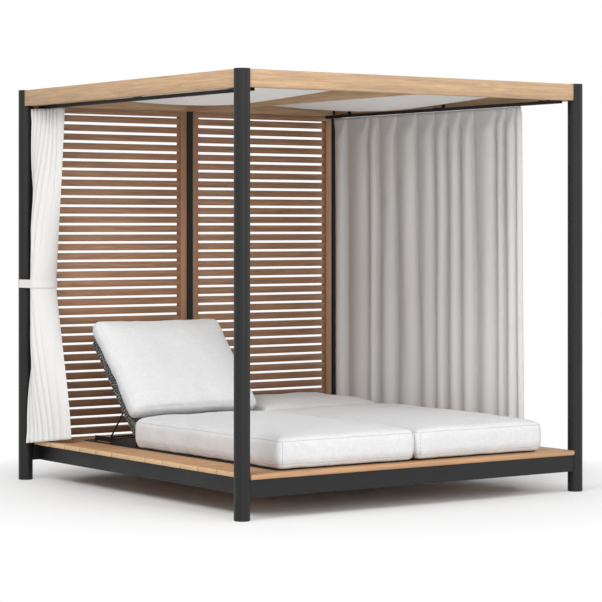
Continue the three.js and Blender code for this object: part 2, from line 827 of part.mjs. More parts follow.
// The back cushion slides up the backrest as it is raised, so that it clears the seat cushion.
function addChaise(name, side, angle) {
  const x = side * chaiseX;
  const seatY = (seatBackY + seatFrontY) * half;
  addPiece(daybed, `chaise_base_${name}`, chaiseBaseGeometry(), charcoalPaint(), x);
  addPiece(daybed, `pivot_rod_${name}`, pivotRodGeometry(), charcoalPaint(), x, pivotY, pivotZ);
  addPiece(daybed, `seat_cushion_${name}`, seatCushionGeometry(), cushionCloth(), x, seatY, baseTopZ + seam);
  const backrest = new THREE.Group();
  backrest.position.set(x, pivotY, pivotZ);
  backrest.rotation.x = angle;
  daybed.add(backrest);
  addPiece(backrest, `backrest_frame_${name}`, backrestFrameGeometry(), charcoalPaint());
  addPiece(backrest, `woven_back_${name}`, wovenBackGeometry(), ropeWeave());
  const slide = backCushionSlide * angle / raisedAngle;
  const cushionY = slide - backCushionSetBack + backCushionLength * half;
  const cushionZ = tubeRadius + wovenThickness + 2 * seam;
  addPiece(backrest, `back_cushion_${name}`, backCushionGeometry(), cushionCloth(), 0, cushionY, cushionZ);
  const prop = addPiece(backrest, `prop_bail_${name}`, propGeometry(), charcoalPaint(), 0, propLength);
  prop.rotation.x = -2 * angle;
}

addFrame();
addDeck();
addCurtains();
addChaise('left', -1, raisedAngle);
addChaise('right', 1, 0);

export default daybed;
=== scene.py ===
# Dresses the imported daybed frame: eased timber, sewn cushions, pleated curtains, a sagging roof
# cloth and woven chaise backs, under soft studio light. Metres, +Z up, open front towards -Y.
import math

import bmesh
import bpy
import numpy as np
from mathutils import Matrix, Vector, noise


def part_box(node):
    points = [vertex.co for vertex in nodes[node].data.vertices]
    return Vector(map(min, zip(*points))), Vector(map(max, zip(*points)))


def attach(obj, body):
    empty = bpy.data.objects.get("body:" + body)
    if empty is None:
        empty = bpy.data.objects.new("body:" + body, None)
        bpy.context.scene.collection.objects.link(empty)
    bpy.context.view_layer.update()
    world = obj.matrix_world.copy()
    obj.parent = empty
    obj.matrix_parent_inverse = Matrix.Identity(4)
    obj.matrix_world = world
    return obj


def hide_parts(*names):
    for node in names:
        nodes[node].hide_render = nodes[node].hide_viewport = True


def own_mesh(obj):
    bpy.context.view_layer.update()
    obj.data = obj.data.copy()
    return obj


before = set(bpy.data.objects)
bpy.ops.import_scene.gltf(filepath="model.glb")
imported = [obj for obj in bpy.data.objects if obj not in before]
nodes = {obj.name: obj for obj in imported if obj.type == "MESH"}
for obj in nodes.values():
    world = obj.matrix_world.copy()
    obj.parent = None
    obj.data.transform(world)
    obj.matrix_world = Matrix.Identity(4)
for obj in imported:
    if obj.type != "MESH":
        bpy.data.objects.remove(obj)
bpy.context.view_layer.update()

SIDES = ("left", "right")


# Camera

CAMERA_PLACE = (-7.506, -10.757, 1.501)
CAMERA_YAW = math.radians(-35.08)
CAMERA_LENS = 135.6
CAMERA_SENSOR = 36.0
CAMERA_SHIFT_Y = -0.1255


def add_camera():
    data = bpy.data.cameras.new("camera")
    data.lens = CAMERA_LENS
    data.sensor_width = CAMERA_SENSOR
    data.shift_y = CAMERA_SHIFT_Y
    data.clip_end = 100
    camera = bpy.data.objects.new("camera", data)
    camera.location = CAMERA_PLACE
    camera.rotation_euler = (math.pi / 2, 0, CAMERA_YAW)
    bpy.context.scene.collection.objects.link(camera)
    bpy.context.scene.camera = camera


add_camera()


# Shader helpers

class Graph:
    """A node tree with short calls to add and link nodes."""

    def __init__(self, tree):
        self.tree = tree

    def node(self, kind, **values):
        made = self.tree.nodes.new(kind)
        for key, value in values.items():
            setattr(made, key, value)
        return made

    def link(self, source, target):
        self.tree.links.new(source, target)

    def feed(self, target, value):
        if hasattr(value, "links"):
            self.link(value, target)
        else:
            target.default_value = value

    def math(self, operation, a, b=0.0):
        made = self.node("ShaderNodeMath", operation=operation)
        self.feed(made.inputs[0], a)
        self.feed(made.inputs[1], b)
        return made.outputs["Value"]

    def spread(self, value, low, high, to_low=0.0, to_high=1.0):
        made = self.node("ShaderNodeMapRange")
        for socket, number in zip(made.inputs[1:5], (low, high, to_low, to_high)):
            socket.default_value = number
        self.link(value, made.inputs["Value"])
        return made.outputs["Result"]

    def blend(self, share, low, high):
        made = self.node("ShaderNodeMix", data_type="RGBA")
        self.feed(made.inputs["Factor"], share)
        for socket, value in ((made.inputs[6], low), (made.inputs[7], high)):
            if hasattr(value, "links"):
                self.link(value, socket)
            else:
                socket.default_value = (*value, 1)
        return made.outputs[2]

    def seen(self):
        """One for camera, glossy and transmission rays, zero for the light that falls on things."""
        path = self.node("ShaderNodeLightPath")
        direct = self.math("MAXIMUM", path.outputs["Is Camera Ray"], path.outputs["Is Glossy Ray"])
        return self.math("MAXIMUM", direct, path.outputs["Is Transmission Ray"])


class Shader(Graph):
    """A material's node tree with its Principled shader."""

    def __init__(self, name, roughness, metallic=0.0, sheen=0.0):
        self.material = bpy.data.materials.new(name)
        self.material.use_nodes = True
        super().__init__(self.material.node_tree)
        self.surface = self.tree.nodes["Principled BSDF"]
        self.surface.inputs["Roughness"].default_value = roughness
        self.surface.inputs["Metallic"].default_value = metallic
        self.surface.inputs["Sheen Weight"].default_value = sheen
        self.place = self.node("ShaderNodeTexCoord").outputs["Object"]

    def mapped(self, scale):
        mapping = self.node("ShaderNodeMapping")
        mapping.inputs["Scale"].default_value = scale
        self.link(self.place, mapping.inputs["Vector"])
        return mapping.outputs["Vector"]

    def noise(self, vector, scale, detail=3.0, rough=0.5, distortion=0.0):
        texture = self.node("ShaderNodeTexNoise")
        texture.inputs["Scale"].default_value = scale
        texture.inputs["Detail"].default_value = detail
        texture.inputs["Roughness"].default_value = rough
        texture.inputs["Distortion"].default_value = distortion
        self.link(vector, texture.inputs["Vector"])
        return texture.outputs["Fac"]

    def wave(self, scale, direction):
        texture = self.node("ShaderNodeTexWave", wave_type="BANDS", bands_direction=direction)
        texture.inputs["Scale"].default_value = scale
        self.link(self.place, texture.inputs["Vector"])
        return texture.outputs["Fac"]

    def bump(self, height, strength, distance):
        made = self.node("ShaderNodeBump")
        made.inputs["Strength"].default_value = strength
        made.inputs["Distance"].default_value = distance
        self.link(height, made.inputs["Height"])
        self.link(made.outputs["Normal"], self.surface.inputs["Normal"])

    def color(self, value):
        self.link(value, self.surface.inputs["Base Color"])

    def roughness(self, value):
        self.link(value, self.surface.inputs["Roughness"])


def tinted(color, factor):
    return tuple(min(1.0, channel * factor) for channel in color)


# Materials

COAT_COLORS = ((0.007, 0.007, 0.0073), (0.012, 0.012, 0.0123))
COAT_SPECULAR = 0.32
COAT_CLOUD_SCALE = 3.0
COAT_GRAIN_SCALE = 900.0


def powder_coat():
    """Charcoal powder coat: a fine texture with faint cloudy variation."""
    shader = Shader("charcoal_powder_coat", 0.5)
    shader.surface.inputs["Specular IOR Level"].default_value = COAT_SPECULAR
    cloud = shader.noise(shader.place, COAT_CLOUD_SCALE)
    shader.color(shader.blend(cloud, *COAT_COLORS))
    grain = shader.noise(shader.place, COAT_GRAIN_SCALE, detail=1.0)
    shader.bump(grain, 0.15, 0.0004)
    shader.roughness(shader.spread(cloud, 0.3, 0.7, 0.42, 0.56))
    return shader.material


GRAIN_ACROSS = 34.0
GRAIN_ALONG = 1.6
BOARD_SHIFT = 7.0
DARK_BOARD_SHARE = 0.30
DARK_BOARD_TINT = 0.72
# How far the painted shade low down goes towards its tint.
FOOT_SHADE_SHARE = 0.55
FIBRE_SCALE = 1.6
FINE_SCALE = 6.0
FINE_SHARE = 0.5


def timber(name, color, along, piece_pitch, piece_axis, contrast, foot_shade=None):
    """Oiled teak: grain stretched along one axis, a tone of its own for each board or slat.

    The optional last argument paints shade low down: the height where the wood is painted darkest, the
    height where that painted shade ends, and its tint."""
    shader = Shader(name, 0.55)
    stretch = [GRAIN_ACROSS] * 3
    stretch["XYZ".index(along)] = GRAIN_ALONG
    separate = shader.node("ShaderNodeSeparateXYZ")
    shader.link(shader.place, separate.inputs[0])
    step = shader.math("FLOOR", shader.math("DIVIDE", separate.outputs[piece_axis], piece_pitch))
    tone = shader.node("ShaderNodeTexWhiteNoise", noise_dimensions="1D")
    shader.link(step, tone.inputs["W"])
    combine = shader.node("ShaderNodeCombineXYZ")
    offset = shader.math("MULTIPLY", tone.outputs["Value"], BOARD_SHIFT)
    for socket in combine.inputs:
        shader.link(offset, socket)
    shifted = shader.node("ShaderNodeVectorMath", operation="ADD")
    shader.link(shader.mapped(stretch), shifted.inputs[0])
    shader.link(combine.outputs[0], shifted.inputs[1])
    fibre = shader.noise(shifted.outputs[0], FIBRE_SCALE, detail=6.0, rough=0.7, distortion=0.8)
    fine = shader.noise(shifted.outputs[0], FINE_SCALE, detail=4.0, rough=0.7)
    mixed = shader.math("ADD", fibre, shader.math("MULTIPLY", fine, FINE_SHARE))
    grain = shader.spread(mixed, 0.5, 1.0)
    body = shader.blend(grain, tinted(color, 1 - contrast), tinted(color, 1 + contrast))
    level = shader.spread(tone.outputs["Value"], 0, 1, 0.0, DARK_BOARD_SHARE)
    toned = shader.blend(level, body, tinted(color, DARK_BOARD_TINT))
    # Painted shade: the wood is painted darker towards the bottom, as the shade that falls low behind the
    # chaises.
    if foot_shade:
        low, high, tint = foot_shade
        fade = shader.spread(separate.outputs[2], low, high, FOOT_SHADE_SHARE, 0.0)
        toned = shader.blend(fade, toned, tinted(color, tint))
    shader.color(toned)
    shader.bump(grain, 0.25, 0.0006)
    shader.roughness(shader.spread(fine, 0.2, 0.8, 0.45, 0.65))
    return shader.material


SLUB_SCALE = 220.0
SLUB_SHARE = 0.6
CLOUD_SCALE = 5.0
YARN_SCALE = 45.0
YARN_STRETCH = (1, 2.2, 1)
YARN_TINT = 0.6


def woven_cloth(name, color, thread, depth, valley_shade_and_mottling, melange=0.0):
    """Plain woven cloth: threads on all three axes, slubs and a melange yarn; the low places of the weave
    are painted darker as shade, by a faintly mottled amount.
    """
    shader = Shader(name, 0.9, sheen=0.25)
    bands = [shader.wave(1 / thread, direction) for direction in "XYZ"]
    total = shader.math("ADD", shader.math("ADD", bands[0], bands[1]), bands[2])
    weave = shader.math("MULTIPLY", total, 1 / len(bands))
    slub = shader.noise(shader.place, SLUB_SCALE, detail=2.0)
    cloud = shader.noise(shader.place, CLOUD_SCALE, detail=4.0)
    height = shader.math("ADD", weave, shader.math("MULTIPLY", slub, SLUB_SHARE))
    share = shader.spread(height, 0.3, 1.3)
    # Painted shade: where the weave is low the cloth is painted darker, more so in mottled patches.
    valley_shade = shader.blend(cloud, tinted(color, 1 - 2 * valley_shade_and_mottling), tinted(color, 1 - valley_shade_and_mottling))
    woven = shader.blend(share, valley_shade, color)
    yarn = shader.noise(shader.mapped(YARN_STRETCH), YARN_SCALE, detail=5.0, rough=0.7)
    flecked = shader.spread(yarn, 0.42, 0.62, melange, 0.0)
    shader.color(shader.blend(flecked, woven, tinted(color, YARN_TINT)))
    shader.bump(height, 0.5, depth)
    return shader.material


ROPE_COLORS = ((0.020, 0.020, 0.021), (0.50, 0.50, 0.48))
ROPE_FLECK_SCALE = 170.0
ROPE_TWIST_SCALE = 600.0


def rope_cord():
    """Dark braided rope with light flecks."""
    shader = Shader("dark_rope", 0.85, sheen=0.3)
    fleck = shader.noise(shader.place, ROPE_FLECK_SCALE, detail=2.0, rough=0.6)
    share = shader.spread(fleck, 0.55, 0.63)
    shader.color(shader.blend(share, *ROPE_COLORS))
    twist = shader.noise(shader.place, ROPE_TWIST_SCALE, detail=1.0)
    shader.bump(twist, 0.6, 0.0008)
    return shader.material


NYLON_COLORS = ((0.66, 0.66, 0.63), (0.78, 0.78, 0.75))
NYLON_CLOUD_SCALE = 60.0


def moulded_nylon():
    shader = Shader("glider_nylon", 0.4)
    cloud = shader.noise(shader.place, NYLON_CLOUD_SCALE)
    shader.color(shader.blend(cloud, *NYLON_COLORS))
    return shader.material


SCREW_COLORS = ((0.30, 0.29, 0.27), (0.45, 0.44, 0.42))
SCREW_SCRATCH_SCALE = 900.0


def bright_screw():
    shader = Shader("screw_steel", 0.35, metallic=1.0)
    scratch = shader.noise(shader.place, SCREW_SCRATCH_SCALE, detail=2.0)
    shader.color(shader.blend(scratch, *SCREW_COLORS))
    return shader.material


BOARD_PITCH = 0.1796
SLAT_PITCH = 0.0552
WHOLE_PIECE = 3.0
BEAM_COLOR = (0.49, 0.32, 0.185)
DECK_COLOR = (0.50, 0.28, 0.14)
END_COLOR = (0.70, 0.46, 0.25)
LOUVRE_COLOR = (0.36, 0.19, 0.105)
# Painted shade low on the louvre panels: darkest at the first height, gone at the second, the third is its
# tint.
LOUVRE_FOOT_SHADE = (0.25, 1.2, 0.55)
CUSHION_COLOR = (0.745, 0.75, 0.76)
CURTAIN_COLOR = (0.72, 0.705, 0.69)
CANOPY_COLOR = (0.80, 0.785, 0.76)
SEAM_COLOR = (0.46, 0.46, 0.46)

charcoal = powder_coat()
beam_wood_x = timber("beam_teak_x", BEAM_COLOR, "X", WHOLE_PIECE, 1, 0.32)
beam_wood_y = timber("beam_teak_y", BEAM_COLOR, "Y", WHOLE_PIECE, 0, 0.32)
deck_wood = timber("deck_teak", DECK_COLOR, "X", BOARD_PITCH, 1, 0.28)
end_grain = timber("deck_end_grain", END_COLOR, "X", BOARD_PITCH, 1, 0.18)
louvre_wood = timber("louvre_teak", LOUVRE_COLOR, "X", SLAT_PITCH, 2, 0.5, LOUVRE_FOOT_SHADE)
stile_wood = timber("louvre_stile_teak", LOUVRE_COLOR, "Z", WHOLE_PIECE, 0, 0.2, LOUVRE_FOOT_SHADE)
cushion_cloth = woven_cloth("cushion_cloth", CUSHION_COLOR, 0.0022, 0.0005, 0.04, melange=0.16)
curtain_cloth = woven_cloth("curtain_cloth", CURTAIN_COLOR, 0.0014, 0.0003, 0.02)
canopy_cloth = woven_cloth("canopy_cloth", CANOPY_COLOR, 0.0016, 0.0003, 0.04)
seam_cord = woven_cloth("seam_cord", SEAM_COLOR, 0.0016, 0.0004, 0.08)
rope = rope_cord()
nylon = moulded_nylon()
screw_steel = bright_screw()


# Mesh helpers

def link_piece(name, mesh, materials):
    for material in materials:
        mesh.materials.append(material)
    mesh.shade_smooth()
    piece = bpy.data.objects.new(name, mesh)
    bpy.context.scene.collection.objects.link(piece)
    return piece


def add_piece(name, vertices, faces, material):
    mesh = bpy.data.meshes.new(name)
    mesh.from_pydata([tuple(v) for v in vertices], [], faces)
    mesh.validate()
    return link_piece(name, mesh, [material])


def piece_from_bmesh(name, bm, materials):
    bmesh.ops.recalc_face_normals(bm, faces=bm.faces)
    mesh = bpy.data.meshes.new(name)
    bm.to_mesh(mesh)
    bm.free()
    return link_piece(name, mesh, materials)


def apply_modifiers(piece):
    graph = bpy.context.evaluated_depsgraph_get()
    mesh = bpy.data.meshes.new_from_object(piece.evaluated_get(graph))
    piece.modifiers.clear()
    piece.data = mesh


def settle(piece, body, slot, *replaced):
    """Says which body a piece rides on and the nodes that it replaces; slot is not used."""
    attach(piece, body)
    if replaced:
        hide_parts(*replaced)


MERGE_DISTANCE = 0.00005
FLAT_ANGLE = math.radians(1)
ARRIS_ANGLE = math.radians(50)
SHADE_ANGLE = math.radians(35)
LOUVRE_SHADE_ANGLE = math.radians(40)
END_FACING = 0.7


def eased_box(bm, low, high, ease, material_index=0, turn=None):
    """Adds a box with rounded arrises to a bmesh; turn is a matrix about the box's middle."""
    low, high = Vector(low), Vector(high)
    middle = (low + high) / 2
    size = high - low
    made = bmesh.ops.create_cube(bm, size=1.0)["verts"]
    bmesh.ops.scale(bm, vec=size, verts=made)
    edges = list({edge for vert in made for edge in vert.link_edges})
    rounded = bmesh.ops.bevel(bm, geom=edges, offset=ease, segments=2, profile=0.5, affect="EDGES")
    verts = list({vert for face in rounded["faces"] for vert in face.verts})
    if turn is not None:
        bmesh.ops.transform(bm, matrix=turn, verts=verts)
    bmesh.ops.translate(bm, vec=middle, verts=verts)
    for face in {face for vert in verts for face in vert.link_faces}:
        face.material_index = material_index


def eased_copy(node, ease, materials, slot):
    """Stands in for a timber node: the same solid with eased arrises; end grain is the last material."""
    bm = bmesh.new()
    bm.from_mesh(nodes[node].data)
    bmesh.ops.remove_doubles(bm, verts=bm.verts, dist=MERGE_DISTANCE)
    bmesh.ops.dissolve_limit(bm, angle_limit=FLAT_ANGLE, verts=bm.verts, edges=bm.edges)
    sharp = [edge for edge in bm.edges
             if len(edge.link_faces) == 2 and edge.calc_face_angle(0) > ARRIS_ANGLE]
    bmesh.ops.bevel(bm, geom=sharp, offset=ease, segments=2, profile=0.5, affect="EDGES",
                    clamp_overlap=True)
    bm.normal_update()
    for face in bm.faces:
        face.material_index = len(materials) - 1 if abs(face.normal.x) > END_FACING else 0
    piece = piece_from_bmesh(node + "_eased", bm, materials)
    piece.data.set_sharp_from_angle(angle=SHADE_ANGLE)
    settle(piece, "root", slot, node)


def tube_along(points, radius, sides, closed=False):
    """Vertices and faces of a round tube along points."""
    points = [Vector(point) for point in points]
    count = len(points)
    vertices = []
    faces = []
    reference = None
    for index, point in enumerate(points):
        after = points[(index + 1) % count] if closed or index + 1 < count else point
        before = points[index - 1] if closed or index else point
        tangent = (after - before).normalized()
        if reference is None:
            guess = Vector((0, 0, 1)) if abs(tangent.z) < 0.9 else Vector((1, 0, 0))
            reference = tangent.cross(guess).normalized()
        reference = (reference - tangent * reference.dot(tangent)).normalized()
        other = tangent.cross(reference)
        for side in range(sides):
            angle = 2 * math.pi * side / sides
            vertices.append(point + (reference * math.cos(angle) + other * math.sin(angle)) * radius)
    rings = count if closed else count - 1
    for ring in range(rings):
        a = ring * sides
        b = (ring + 1) % count * sides
        for side in range(sides):
            after = (side + 1) % sides
            faces.append((a + side, a + after, b + after, b + side))
    if not closed:
        faces.append(tuple(range(sides))[::-1])
        last = (count - 1) * sides
        faces.append(tuple(last + side for side in range(sides)))
    return vertices, faces


def clamped(value):
    return min(1.0, max(0.0, value))


def smooth_step(value):
    value = clamped(value)
    return value * value * (3 - 2 * value)


def ramp(value, shape):
    """Rises smoothly from 0 to 1; shape is how fast it rises and how late it starts."""
    rate, start = shape
    return smooth_step(value * rate - start)


def waver(wave, a, b):
    """A smooth random offset; wave is its depth, how fast it changes along a and b, and a seed."""
    depth, rate_a, rate_b, seed = wave
    return depth * noise.noise(Vector((a * rate_a, b * rate_b, seed)))


def merge_parts(parts):
    """Joins several (vertices, faces) pairs into one pair."""
    vertices = []
    faces = []
    for part_vertices, part_faces in parts:
        start = len(vertices)
        vertices.extend(part_vertices)
        faces.extend(tuple(corner + start for corner in face) for face in part_faces)
    return vertices, faces


# Timber and metal frame

METAL_NODES = ("post_", "bottom_rail", "deck_joist", "mullion", "curtain_track", "chaise_base",
               "pivot_rod", "backrest_frame", "prop_bail")
BEAM_EASE = 0.0025
DECK_EASE = 0.0055
LOUVRE_EASE = 0.002


def assign(piece, material):
    for place in piece.material_slots:
        place.material = material
    piece.data.set_sharp_from_angle(angle=SHADE_ANGLE)


def dress_metal():
    for name, node in nodes.items():
        if name.startswith(METAL_NODES):
            assign(node, charcoal)
        if name.startswith("glider"):
            assign(node, nylon)


def dress_beams():
    for name in ("top_beam_front", "top_beam_back"):
        eased_copy(name, BEAM_EASE, [beam_wood_x], "beam_wood")
    for name in ("top_beam_left", "top_beam_right", "rafter"):
        eased_copy(name, BEAM_EASE, [beam_wood_y], "beam_wood")


def dress_deck():
    boards = [name for name in nodes if name.startswith(("deck_board", "deck_nosing"))]
    for name in boards:
        eased_copy(name, DECK_EASE, [deck_wood, end_grain], "deck_wood")
    add_deck_screws(boards)


SCREW_RADIUS = 0.0038
SCREW_SIDES = 12
SCREW_INSET = 0.022
SCREW_RISE = 0.0001
JOIST_PLACES = (-1.025, -0.5, 0.0, 0.5, 1.025)


def add_deck_screws(boards):
    """Flat screw heads where each board crosses a rail or joist."""
    bm = bmesh.new()
    for name in boards:
        low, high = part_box(name)
        for x in JOIST_PLACES:
            for y in (low[1] + SCREW_INSET, high[1] - SCREW_INSET):
                place = Matrix.Translation((x, y, high[2] + SCREW_RISE))
                bmesh.ops.create_circle(bm, cap_ends=True, segments=SCREW_SIDES, radius=SCREW_RADIUS,
                                        matrix=place)
    piece = piece_from_bmesh("deck_screw_heads", bm, [screw_steel])
    settle(piece, "root", "chaise_metal")


STILE_WIDTH = 0.044
LOUVRE_BOTTOM = 0.0247
LOUVRE_TOP = 0.0332
SLAT_GAP = 0.0165
SLAT_DEPTH = 0.036
SLAT_TILT = 0.06
SLAT_SET = 0.002


def dress_louvres():
    """Each panel as stiles, rails and eased slats, with the slats let into the stiles."""
    for side in SIDES:
        node = "louvre_panel_" + side
        low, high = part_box(node)
        bm = bmesh.new()
        eased_box(bm, low, (low[0] + STILE_WIDTH, high[1], high[2]), LOUVRE_EASE, 1)
        eased_box(bm, (high[0] - STILE_WIDTH, low[1], low[2]), high, LOUVRE_EASE, 1)
        left = low[0] + STILE_WIDTH - SLAT_SET
        right = high[0] - STILE_WIDTH + SLAT_SET
        eased_box(bm, (left, low[1], low[2]), (right, high[1], low[2] + LOUVRE_BOTTOM), LOUVRE_EASE)
        eased_box(bm, (left, low[1], high[2] - LOUVRE_TOP), (right, high[1], high[2]), LOUVRE_EASE)
        slat_height = SLAT_PITCH - SLAT_GAP
        start = low[2] + LOUVRE_BOTTOM + SLAT_GAP
        count = int((high[2] - LOUVRE_TOP - low[2] - LOUVRE_BOTTOM) / SLAT_PITCH)
        turn = Matrix.Rotation(SLAT_TILT, 4, "X")
        back = high[1] - SLAT_SET
        for place in range(count):
            z = start + place * SLAT_PITCH
            corners = (left, back - SLAT_DEPTH, z), (right, back, z + slat_height)
            eased_box(bm, *corners, LOUVRE_EASE, turn=turn)
        piece = piece_from_bmesh(node + "_eased", bm, [louvre_wood, stile_wood])
        piece.data.set_sharp_from_angle(angle=LOUVRE_SHADE_ANGLE)
        settle(piece, "root", "louvre_wood", node)


# Cushions

CUSHION_ROUND = 0.044
CUSHION_DRAW = 0.006
CUSHION_CELL = 0.02
CROWN_POWER = 4
SEAM_LEVEL = 0.86
CORNER_CELLS = 1
LEVEL_SHARES = (-1, -SEAM_LEVEL, -0.6, -0.3, 0, 0.3, 0.6, SEAM_LEVEL, 1)


def cushion_lattice(half_width, length, side, crown):
    """Points, quads and seams of a boxed cushion: a crowned top, soft edges and drawn-in sides."""
    columns = round(2 * half_width / CUSHION_CELL)
    rows = round(length / CUSHION_CELL)
    layers = len(LEVEL_SHARES) - 1
    reach = Vector((half_width, length / 2, side / 2))
    core = [value - CUSHION_ROUND for value in reach]
    index = {}
    points = []
    faces = []

    def vertex(i, j, k):
        key = (i, j, k)
        if key not in index:
            s = 2 * i / columns - 1
            t = 2 * j / rows - 1
            h = LEVEL_SHARES[k]
            boxed = Vector((s * reach.x, t * reach.y, h * reach.z))
            inner = Vector([min(max(value, -edge), edge) for value, edge in zip(boxed, core)])
            rounded = inner + (boxed - inner).normalized() * CUSHION_ROUND
            x = rounded.x - CUSHION_DRAW * (1 - t * t) * s
            y = rounded.y - CUSHION_DRAW * (1 - s * s) * t
            swell = crown * (1 - s ** CROWN_POWER) * (1 - t ** CROWN_POWER)
            z = rounded.z + side / 2 + max(0, h) * swell
            index[key] = len(points)
            points.append(Vector((x, y, z)))
        return index[key]

    def quad(*corners):
        faces.append([vertex(*corner) for corner in corners])

    for i in range(columns):
        for j in range(rows):
            quad((i, j, 0), (i, j + 1, 0), (i + 1, j + 1, 0), (i + 1, j, 0))
            quad((i, j, layers), (i + 1, j, layers), (i + 1, j + 1, layers), (i, j + 1, layers))
    for k in range(layers):
        for i in range(columns):
            quad((i, 0, k), (i + 1, 0, k), (i + 1, 0, k + 1), (i, 0, k + 1))
            quad((i, rows, k), (i, rows, k + 1), (i + 1, rows, k + 1), (i + 1, rows, k))
        for j in range(rows):
            quad((0, j, k), (0, j, k + 1), (0, j + 1, k + 1), (0, j + 1, k))
            quad((columns, j, k), (columns, j + 1, k), (columns, j + 1, k + 1), (columns, j, k + 1))
    ring = [(i, 0) for i in range(columns)] + [(columns, j) for j in range(rows)]
    ring += [(i, rows) for i in range(columns, 0, -1)] + [(0, j) for j in range(rows, 0, -1)]
    top = LEVEL_SHARES.index(SEAM_LEVEL)
    bottom = LEVEL_SHARES.index(-SEAM_LEVEL)
    loops = {"top": [index[(i, j, top)] for i, j in ring],
             "bottom": [index[(i, j, bottom)] for i, j in ring]}
    for i in (CORNER_CELLS, columns - CORNER_CELLS):
        for j in (0, rows):
            loops[f"corner_{i}_{j}"] = [index[(i, j, k)] for k in range(bottom, top + 1)]
    return points, faces, loops


def fit_to(cover, low, high):
    """Scales the sewn cover so that it fills its place."""
    points = np.array([vertex.co[:] for vertex in cover.data.vertices])
    from_low, from_high = points.min(axis=0), points.max(axis=0)
    scaled = (points - from_low) / (from_high - from_low) * (np.array(high) - np.array(low)) + np.array(low)
    cover.data.vertices.foreach_set("co", scaled.ravel())
    cover.data.update()


SWELL_CAP = 0.012
SWELL_FRAMES = 20
SWELL_SETTINGS = {
    "quality": 4,
    "mass": 0.4,
    "tension_stiffness": 12,
    "compression_stiffness": 12,
    "shear_stiffness": 6,
    "bending_stiffness": 0.4,
    "use_pressure": True,
    "uniform_pressure_force": 4.0,
    "vertex_group_shrink": "seam",
    "shrink_max": 0.02,
}


def inflate(piece, loops):
    """Blows the cover up a little with its seams pulled tight, so that it swells and puckers."""
    rest = [vertex.co.copy() for vertex in piece.data.vertices]
    group = piece.vertex_groups.new(name="seam")
    for loop in loops.values():
        group.add(loop, 1.0, "REPLACE")
    cloth = piece.modifiers.new("swell", "CLOTH")
    for key, value in SWELL_SETTINGS.items():
        setattr(cloth.settings, key, value)
    cloth.settings.effector_weights.gravity = 0
    cloth.collision_settings.use_collision = False
    scene = bpy.context.scene
    for step in range(1, SWELL_FRAMES + 1):
        scene.frame_set(step)
    graph = bpy.context.evaluated_depsgraph_get()
    swollen = piece.evaluated_get(graph).data
    moved = [vertex.co.copy() for vertex in swollen.vertices]
    piece.modifiers.clear()
    scene.frame_set(1)
    for vertex, start, end in zip(piece.data.vertices, rest, moved):
        shift = end - start
        if shift.length > SWELL_CAP:
            shift *= SWELL_CAP / shift.length
        vertex.co = start + shift


PUCKER_SPACING = 0.05
PUCKER_REACH = 0.05
PUCKER_DEPTH = 0.003
PUCKER_RISE = 4
CREASE_DEPTH = 0.0055
CREASE_RATE = 4.5
CREASE_DETAIL = (0.9, 2.0, 3)
GROOVE_DEPTH = 0.003
GROOVE_REACH = 0.012


def sew(piece, seam_points, seed):
    """Sinks a groove along the seams, gathers small puckers beside them and adds soft creases."""
    seam_array = np.array([tuple(point) for point in seam_points])
    mesh = piece.data
    normals = [vertex.normal.copy() for vertex in mesh.vertices]
    for vertex, normal in zip(mesh.vertices, normals):
        place = vertex.co
        gap = float(np.min(np.linalg.norm(seam_array - np.array(place), axis=1)))
        groove = -GROOVE_DEPTH * math.exp(-(gap / GROOVE_REACH) ** 2)
        around = place.x + place.y
        wobble = noise.noise(Vector((around / PUCKER_SPACING, place.z * PUCKER_RISE, seed)))
        pucker = PUCKER_DEPTH * wobble * math.exp(-gap / PUCKER_REACH)
        crease_place = place * CREASE_RATE + Vector((seed, 0, 0))
        crease = CREASE_DEPTH * noise.fractal(crease_place, *CREASE_DETAIL)
        vertex.co = place + normal * (groove + pucker + crease)


LOWER_REACH = 0.042
BASE_OVERHANG = 0.016
BASE_FRONT_OVERHANG = 0.010
HEM_DROOP = 0.0046
HEM_LEVEL = 0.6
HEM_WAVE = (0.4, 14, 14)


def rest_on_base(cover, foot_x, foot_front, seed):
    """The cushion is flat where it rests, its lower edge fills out and droops past the base."""
    for vertex in cover.data.vertices:
        place = vertex.co
        lift = smooth_step(place.z / LOWER_REACH)
        is_outside = abs(place.x) > foot_x or place.y < foot_front
        wavy = HEM_LEVEL + waver((*HEM_WAVE, seed), place.x, place.y)
        droop = HEM_DROOP * wavy * (1 - lift) if is_outside else 0.0
        place.z = max(place.z, 0.0) * lift - droop


WELT_RADIUS = 0.0017
WELT_SIDES = 6
SIDE_SLACK = 0.003


def seam_places(cover, loops):
    """The points of each seam on the cover as it is now."""
    return {key: [cover.data.vertices[place].co.copy() for place in loop] for key, loop in loops.items()}


def make_cushion(name, size, matrix, body, node, seed, cord):
    """One sewn cushion: its cover, and the welts of its seams as a second piece."""
    half_width, length, side, crown = size
    points, faces, loops = cushion_lattice(half_width, length, side, crown)
    cover = add_piece(name, points, faces, cushion_cloth)
    inflate(cover, loops)
    refine = cover.modifiers.new("refine", "SUBSURF")
    refine.levels = 1
    refine.render_levels = 1
    apply_modifiers(cover)
    reach = half_width - SIDE_SLACK
    fit_to(cover, (-reach, SIDE_SLACK - length / 2, 0), (reach, length / 2 - SIDE_SLACK, side + crown))
    seam_points = [point for loop in seam_places(cover, loops).values() for point in loop]
    sew(cover, seam_points, seed)
    rest_on_base(cover, half_width - BASE_OVERHANG, BASE_FRONT_OVERHANG - length / 2, seed)
    cover.data.shade_smooth()
    welts = [tube_along(loop, WELT_RADIUS, WELT_SIDES, closed=key in ("top", "bottom"))
             for key, loop in seam_places(cover, loops).items()]
    cover.data.transform(matrix)
    welt = add_piece(name + "_welts", *merge_parts(welts), cord)
    welt.data.transform(matrix)
    settle(cover, body, "cushion_cloth", node)
    settle(welt, body, "cushion_cloth")


